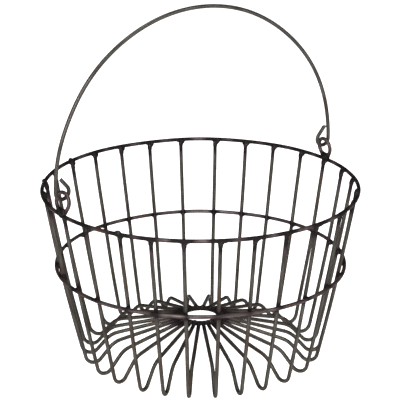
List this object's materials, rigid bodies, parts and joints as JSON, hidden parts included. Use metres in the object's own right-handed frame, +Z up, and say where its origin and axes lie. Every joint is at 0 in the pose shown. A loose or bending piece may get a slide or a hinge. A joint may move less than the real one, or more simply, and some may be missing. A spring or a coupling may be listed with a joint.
{
  "type": "egg collection basket",
  "caption": "Round welded wire basket with sloping rib walls, a raised domed floor on looped wire feet, and a swinging wire bail handle.",
  "frame": {"origin": "on the basket's upright axis, at the level its wire feet stand on", "axes": "+Z up; the two ears and the bail's swing axis lie along X, so the bail stands in the XZ plane and swings towards +Y or -Y"},
  "size_m": [0.3119, 0.3036, 0.3442],
  "materials": {
    "hoop_steel": "dark oiled raw wire, soft sheen",
    "rib_steel": "dark oiled raw wire, grey-brown",
    "bail_steel": "dark oiled raw wire, hand-worn",
    "weld_steel": "burnt weld metal, rough"
  },
  "bodies": {
    "basket": {"rim_hoop": "hoop_steel", "belt_hoop": "hoop_steel", "hub_ring": "hoop_steel", "rib_01": "rib_steel", "rib_02": "rib_steel", "rib_03": "rib_steel", "rib_04": "rib_steel", "rib_05": "rib_steel", "rib_06": "rib_steel", "rib_07": "rib_steel", "rib_08": "rib_steel", "rib_09": "rib_steel", "rib_10": "rib_steel", "rib_11": "rib_steel", "rib_12": "rib_steel", "rib_13": "rib_steel", "rib_14": "rib_steel", "rib_15": "rib_steel", "rib_16": "rib_steel", "rib_17": "rib_steel", "rib_18": "rib_steel", "rib_19": "rib_steel", "rib_20": "rib_steel", "rib_21": "rib_steel", "rib_22": "rib_steel", "rib_23": "rib_steel", "rib_24": "rib_steel", "rib_25": "rib_steel", "rib_26": "rib_steel", "rib_27": "rib_steel", "rib_28": "rib_steel", "ear_right": "hoop_steel", "ear_left": "hoop_steel", "rim_welds": "weld_steel", "belt_welds": "weld_steel", "hub_welds": "weld_steel", "ear_welds": "weld_steel"},
    "bail": {"bail": "bail_steel"}
  },
  "joints": [
    {"name": "bail_swing", "type": "hinge", "parent": "basket", "child": "bail", "pos_m": [0, 0, 0.1845], "axis": [1, 0, 0], "range_deg": [-104, 104]}
  ]
}
